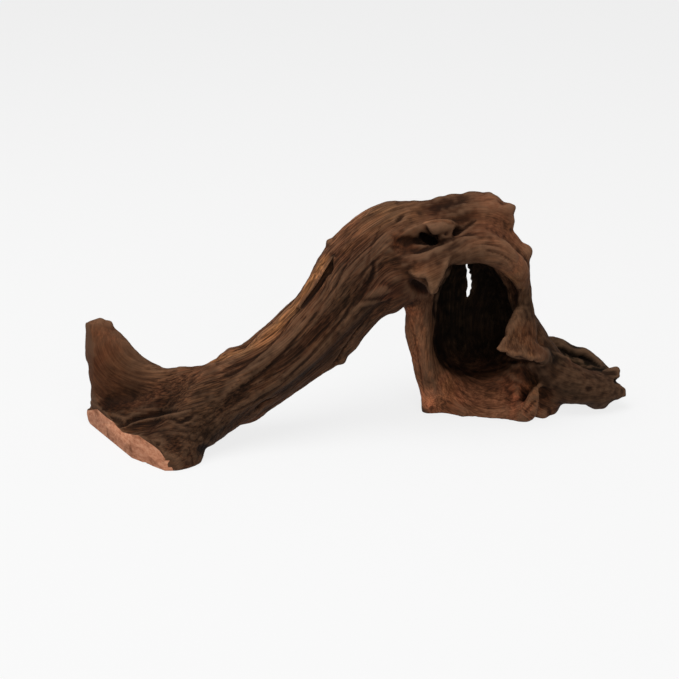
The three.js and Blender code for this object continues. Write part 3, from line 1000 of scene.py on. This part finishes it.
# Upper edge of the fresh wood in the saw cuts, in pixels; above it the cut has gone as grey as the rest
FRESH_EDGE = [
    (84, 411), (92, 410), (97, 409), (106, 417), (116.5, 424.5), (126.5, 426), (132, 429), (137, 434.5),
    (144, 439.5), (152.5, 445), (159.5, 450.5), (165, 458.5), (168.5, 464), (173, 471),
]
FRESH_END = (157, 173)


def faces_on_cuts(piece):
    """Which faces lie in a saw cut, and which of those are fresh wood."""
    count = len(piece.data.polygons)
    middle, facing = np.empty(count * 3, np.float32), np.empty(count * 3, np.float32)
    piece.data.polygons.foreach_get("center", middle)
    piece.data.polygons.foreach_get("normal", facing)
    middle, facing = from_part(middle.reshape(-1, 3)), facing.reshape(-1, 3)
    flat = np.zeros(count, bool)
    for place, way in SAW_CUTS:
        flat |= (np.abs((middle - place) @ unit(way)) < 0.1) & (facing @ unit(way) > 0.98)
    across, down = picture_place(middle).T
    # The fresh wood ends on the rounded edge, a little past the lobe's cut.
    rounded = (facing @ unit(SAW_CUTS[1][1]) > 0.2) & (middle[:, 2] < 16)
    rounded &= (across > FRESH_END[0]) & (across < FRESH_END[1])
    return flat, (flat | rounded) & (down > np.interp(across, *zip(*FRESH_EDGE)))


def mark_saw_cuts(piece):
    """Splits the cut faces along the edge of the fresh wood and gives what lies under it its own finish."""
    pick(piece)
    bpy.context.tool_settings.mesh_select_mode = (False, False, True)
    for first, second in zip(FRESH_EDGE, FRESH_EDGE[1:]):
        piece.data.polygons.foreach_set("select", faces_on_cuts(piece)[0])
        bpy.ops.object.mode_set(mode="EDIT")
        across = Vector(np.cross(sight(*first), sight(*second))).normalized()
        bpy.ops.mesh.bisect(plane_co=to_part(eye()), plane_no=across)
        bpy.ops.object.mode_set(mode="OBJECT")
    piece.data.polygons.foreach_set("material_index", faces_on_cuts(piece)[1].astype(np.int32))


mark_saw_cuts(skin)


# Colour that the wood has from place to place, with painted shade in the cave, hollow, crack, trough
# and valley and painted highlights on lit edges: pixels along each patch, half width in millimetres
# and how many times lighter it is in red, green and blue

PATCHES_WITH_PAINTED_LIGHT = [
    ("pale strip down the left wall", [(409, 314), (412, 350), (417, 378), (424, 402)], 7, (3.5, 3.1, 2.9)),
    ("foot of the left wall", [(426, 392), (432, 404)], 8, (1.25, 1.3, 1.35)),
    ("red lip of the cave", [(440, 403), (470, 405), (500, 408), (522, 405)], 11, (2.25, 2.15, 2.2)),
    ("floor of the cave", [(448, 386), (480, 388), (510, 391)], 12, (1.5, 1.42, 1.4)),
    ("left side of the cave", [(430, 336), (434, 356), (441, 374)], 9, (2.0, 2.0, 2.0)),
    ("dark lobe", [(150, 430), (172, 438), (196, 440)], 16, (0.46, 0.44, 0.42)),
    ("limb's low side", [(215, 424), (250, 402), (290, 376), (325, 350), (348, 318)], 19, (0.60, 0.62, 0.62)),
    ("limb's low end", [(212, 394), (238, 385), (262, 371)], 12, (0.74, 0.74, 0.70)),
    ("fin's face", [(100, 350), (108, 375)], 14, (1.4, 1.24, 1.13)),
    ("outer root", [(556, 372), (580, 386), (604, 390), (616, 382)], 16, (0.44, 0.50, 0.52)),
    # Painted shade in the trough, with a greener tone.
    ("painted shade and green in the trough", [(566, 350), (582, 358), (598, 366)], 8, (0.30, 0.40, 0.36)),
    ("horns", [(606, 378), (617, 384), (619, 393)], 10, (0.72, 0.70, 0.74)),
    # Painted shade on the trough's back wall, with a greener tone.
    ("back wall of the trough", [(557, 342), (572, 347), (588, 353), (599, 363)], 10, (0.36, 0.44, 0.42)),
    ("red floor beside the knob", [(510, 386), (519, 392), (522, 402)], 6, (1.6, 1.45, 1.45)),
    ("right leg", [(531, 306), (545, 330), (553, 352)], 11, (0.50, 0.58, 0.63)),
    ("arch's right", [(490, 216), (506, 230), (514, 246), (519, 262)], 15, (2.25, 2.25, 2.3)),
    ("warm haunch", [(370, 224), (396, 210), (410, 210)], 9, (1.3, 1.4, 1.35)),
    ("dark top of the arch", [(440, 206), (452, 206), (466, 208)], 11, (0.46, 0.42, 0.38)),
    ("haunch", [(356, 272), (368, 258), (384, 248)], 14, (0.62, 0.62, 0.62)),
    ("bar", [(408, 262), (430, 252), (458, 246)], 8, (0.68, 0.66, 0.66)),
    ("lump under the arch", [(370, 292), (386, 292)], 8, (0.82, 0.66, 0.64)),
    ("tooth", [(420, 272), (432, 284)], 6, (1.35, 1.4, 1.35)),
    # Paler wood along the limb's top edge, with a painted highlight where the light falls on it.
    (
        "pale ribbon and painted highlight on the limb's top edge",
        [(216, 361), (252, 345), (279, 319), (304, 291), (322, 266)],
        6,
        (2.6, 2.75, 2.4),
    ),
    # Paler wood on the haunch's edge, with a painted highlight where the light falls on it.
    ("pale edge and painted highlight on the haunch", [(335, 238), (350, 222), (370, 211), (386, 206)], 5.5, (1.9, 2.0, 2.0)),
    ("fin's tip", [(92, 327), (103, 324)], 7, (1.1, 1.0, 0.95)),
    # Painted highlight along the fin's rim.
    ("painted highlight on the fin's rim", [(88, 345), (90, 375), (94, 400)], 2.4, (1.4, 1.35, 1.3)),
    ("hood", [(524, 312), (522, 336)], 10, (1.02, 1.0, 0.90)),
    ("knob on the lip", [(528, 388), (538, 390)], 4, (1.9, 1.8, 1.7)),
    ("ragged lip of the hood", [(499, 350), (512, 355), (528, 356), (542, 360)], 2.2, (1.8, 1.8, 1.7)),
    # Painted shade in the valley below the fin.
    ("painted shade in the valley", [(108, 408), (126, 418), (150, 411), (168, 407)], 9, (0.32, 0.29, 0.26)),
    # Painted shade in the deepest part of the hollow.
    ("hollow", [(421, 239), (428, 240), (436, 241)], 5, (0.30, 0.26, 0.24)),
    ("dish left of the hollow", [(398, 240), (410, 240)], 6, (1.15, 0.95, 0.8)),
    # Painted shade deep inside the cave.
    (
        "painted shade inside the cave",
        [(455, 285), (472, 280), (490, 285), (503, 300), (498, 322), (478, 330), (456, 322)],
        22,
        (0.34, 0.45, 0.45),
    ),
    # Painted shade in the crack.
    ("crack", [(333, 256), (333, 268), (327, 277), (318, 290), (304, 305)], 1.7, (0.12, 0.10, 0.10)),
    # Painted shade on the wall behind the tooth.
    ("painted shade behind the tooth", [(448, 270), (443, 284), (438, 300), (436, 314)], 6, (0.12, 0.11, 0.11)),
    # Painted shade in the pocket under the ledge.
    ("painted shade in the pocket under the ledge", [(417, 284), (425, 291)], 4, (0.5, 0.42, 0.42)),
    ("lobe over the hollow", [(433, 230), (446, 230)], 6, (0.78, 0.74, 0.72)),
    # Painted highlight on the edge over the hollow.
    ("painted highlight on the edge over the hollow", [(425, 222.5), (436, 221.5), (450, 222)], 0.9, (2.4, 2.4, 2.3)),
    # Painted highlight on the edge right of the cave.
    ("painted highlight on the edge right of the cave", [(502, 270), (512, 279), (523, 289)], 1.3, (1.6, 1.7, 1.5)),
]


def give(piece, name, values, kind="FLOAT"):
    attribute = piece.data.attributes.new(name, kind, "POINT")
    field = {"FLOAT_VECTOR": "vector", "FLOAT_COLOR": "color"}.get(kind, "value")
    attribute.data.foreach_set(field, np.ascontiguousarray(values, np.float32).ravel())


def colours_of(value):
    value = np.asarray(value, float)
    if value.ndim == 1:
        value = np.repeat(value[:, None], 3, axis=1)
    return np.concatenate((value, np.ones((len(value), 1))), axis=1)


def patches_with_painted_light(piece):
    p = points_of(piece)
    mottle = 1 + 0.16 * noise(p / 12.0, 63) + 0.14 * noise(p / 5.0, 67)
    out = np.repeat(mottle[:, None], 3, axis=1)
    ragged = 1 + 0.3 * noise(p / 7.0, 61)
    surface = surface_of(piece)
    for name, pixels, width, tint_with_painted_light in PATCHES_WITH_PAINTED_LIGHT:
        places, _ = seen_on(surface, pixels)
        if len(places) < 2:
            print("patch misses the wood:", name)
            continue
        gap, _ = distance_to(p, smooth_line(places, 5))
        share = ease(1.5, 0.4, gap / (width * ragged))
        out *= 1 + share[:, None] * (np.array(tint_with_painted_light) - 1)
    return out


def painted_sky_light(piece):
    """How much of the light round the piece reaches each point, from 0 to 1."""
    p, n, edges = points_of(piece), normals_of(piece), edges_of(piece)
    surface = surface_of(piece)
    chance = np.random.default_rng(5)
    picked = np.arange(0, len(p), SKY_STEP)
    ways = chance.normal(size=(len(picked), SKY_RAYS, 3))
    ways /= np.linalg.norm(ways, axis=2)[:, :, None]
    ways += n[picked][:, None, :] * 1.02
    ways /= np.linalg.norm(ways, axis=2)[:, :, None]
    starts = to_part(p[picked] + n[picked] * 0.5)
    value, known = np.zeros((len(p), 1)), np.zeros((len(p), 1))
    for i, place in enumerate(picked):
        start = Vector(starts[i])
        free = sum(surface.ray_cast(start, Vector(way), SKY_REACH * MM)[0] is None for way in ways[i])
        value[place] = free / SKY_RAYS
        known[place] = 1
    for _ in range(SKY_SPREADS):
        value, known = average_round(value, edges) + value, average_round(known, edges) + known
    return value[:, 0] / np.maximum(known[:, 0], 1e-6)


def paint(piece):
    """Gives each point what the materials read: the grain's ways, its strength, its colour and its light."""
    p, n, edges = points_of(piece), normals_of(piece), edges_of(piece)
    flow, away = along_growth(p)
    give(piece, "growth", flow, "FLOAT_VECTOR")
    give(piece, "upright", along_shell(p), "FLOAT_VECTOR")
    upright = shell_share(p, away)
    give(piece, "shell_share", upright)
    near = evened(p, edges, 4)
    wide = evened(near, edges, 18)
    small = ((p - near) * n).sum(1)
    large = ((near - wide) * n).sum(1)
    # Concave places, small and large, are marked for painted shade in grooves; places that stand out are
    # marked as crests.
    painted_sunk_shade = np.clip(-small / 0.22, 0, 1) * 0.62 + np.clip(-large / 0.9, 0, 1) * 0.16
    raised = np.clip(small / 0.3, 0, 1) * 0.30 + np.clip(large / 0.9, 0, 1) * 0.12
    give(piece, "groove", np.clip(painted_sunk_shade, 0, 0.8))
    give(piece, "crest", np.clip(raised, 0, 0.5))
    fin = ease(-108, -124, p[:, 0]) * ease(14, 26, p[:, 2])
    arch = ease(20, 44, p[:, 0]) * ease(80, 98, p[:, 2])
    root = ease(116, 126, p[:, 0]) * ease(60, 50, p[:, 2]) * (1 - upright)
    give(piece, "grain", 0.95 - 0.62 * fin - 0.58 * arch - 0.42 * upright * (1 - arch) - 0.35 * root)
    give(piece, "tint_with_painted_light", colours_of(patches_with_painted_light(piece)), "FLOAT_COLOR")
    # Painted shade: points that see little open sky, as in the cave and hollows, are painted darker.
    sky = ease(0.05, 0.62, painted_sky_light(piece))
    # Painted light: faces that look up are painted lighter and faces that look down darker, as light falls
    # from above.
    top = 0.66 + 0.52 * ease(-0.8, 0.95, n[:, 2])
    give(piece, "painted_sky_light", colours_of(sky * top), "FLOAT_COLOR")


paint(skin)
pick(skin)
bpy.ops.object.shade_smooth()

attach(skin, "root")
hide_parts("driftwood")


# Floor, light and camera

bpy.ops.object.select_all(action="DESELECT")
bpy.ops.mesh.primitive_plane_add(size=16, location=(0, 0, 0))
floor = bpy.context.object
floor.name = "floor"
paper = bpy.data.materials.new("pale_paper")
paper.use_nodes = True
paper_shader = paper.node_tree.nodes["Principled BSDF"]
paper_shader.inputs["Base Color"].default_value = (0.12, 0.12, 0.12, 1)
paper_shader.inputs["Roughness"].default_value = 1.0
paper_shader.inputs["Specular IOR Level"].default_value = 0.0
paper_shader.inputs["Emission Color"].default_value = (1, 1, 1, 1)
paper_shader.inputs["Emission Strength"].default_value = 0.80
floor.data.materials.append(paper)

world = bpy.data.worlds.new("studio")
bpy.context.scene.world = world
world.use_nodes = True
background = world.node_tree.nodes["Background"]
background.inputs["Color"].default_value = (0.90, 0.90, 0.90, 1)
background.inputs["Strength"].default_value = 0.35


def lamp(name, place, aim, size, power):
    light = bpy.data.lights.new(name, "AREA")
    light.shape = "RECTANGLE"
    light.size, light.size_y = size
    light.energy = power
    made = bpy.data.objects.new(name, light)
    bpy.context.scene.collection.objects.link(made)
    made.location = place
    made.rotation_euler = (Vector(aim) - Vector(place)).to_track_quat("-Z", "Y").to_euler()


lamp("top_softbox", (-0.35, -0.3, 1.5), (0, 0, 0.05), (1.3, 1.0), 23.0)
lamp("front_softbox", (0.5, -1.5, 0.8), (0, 0, 0.06), (1.0, 0.8), 6.5)

camera_data = bpy.data.cameras.new("camera")
camera_data.sensor_width = SENSOR
camera_data.lens = SENSOR * DISTANCE / (PIXEL * PICTURE_SIDE)
camera = bpy.data.objects.new("camera", camera_data)
bpy.context.scene.collection.objects.link(camera)
camera.location = to_part(eye())
camera.rotation_euler = (math.pi / 2 - ELEVATION, 0, 0)
bpy.context.scene.camera = camera
bpy.context.scene.view_settings.view_transform = VIEW_TRANSFORM
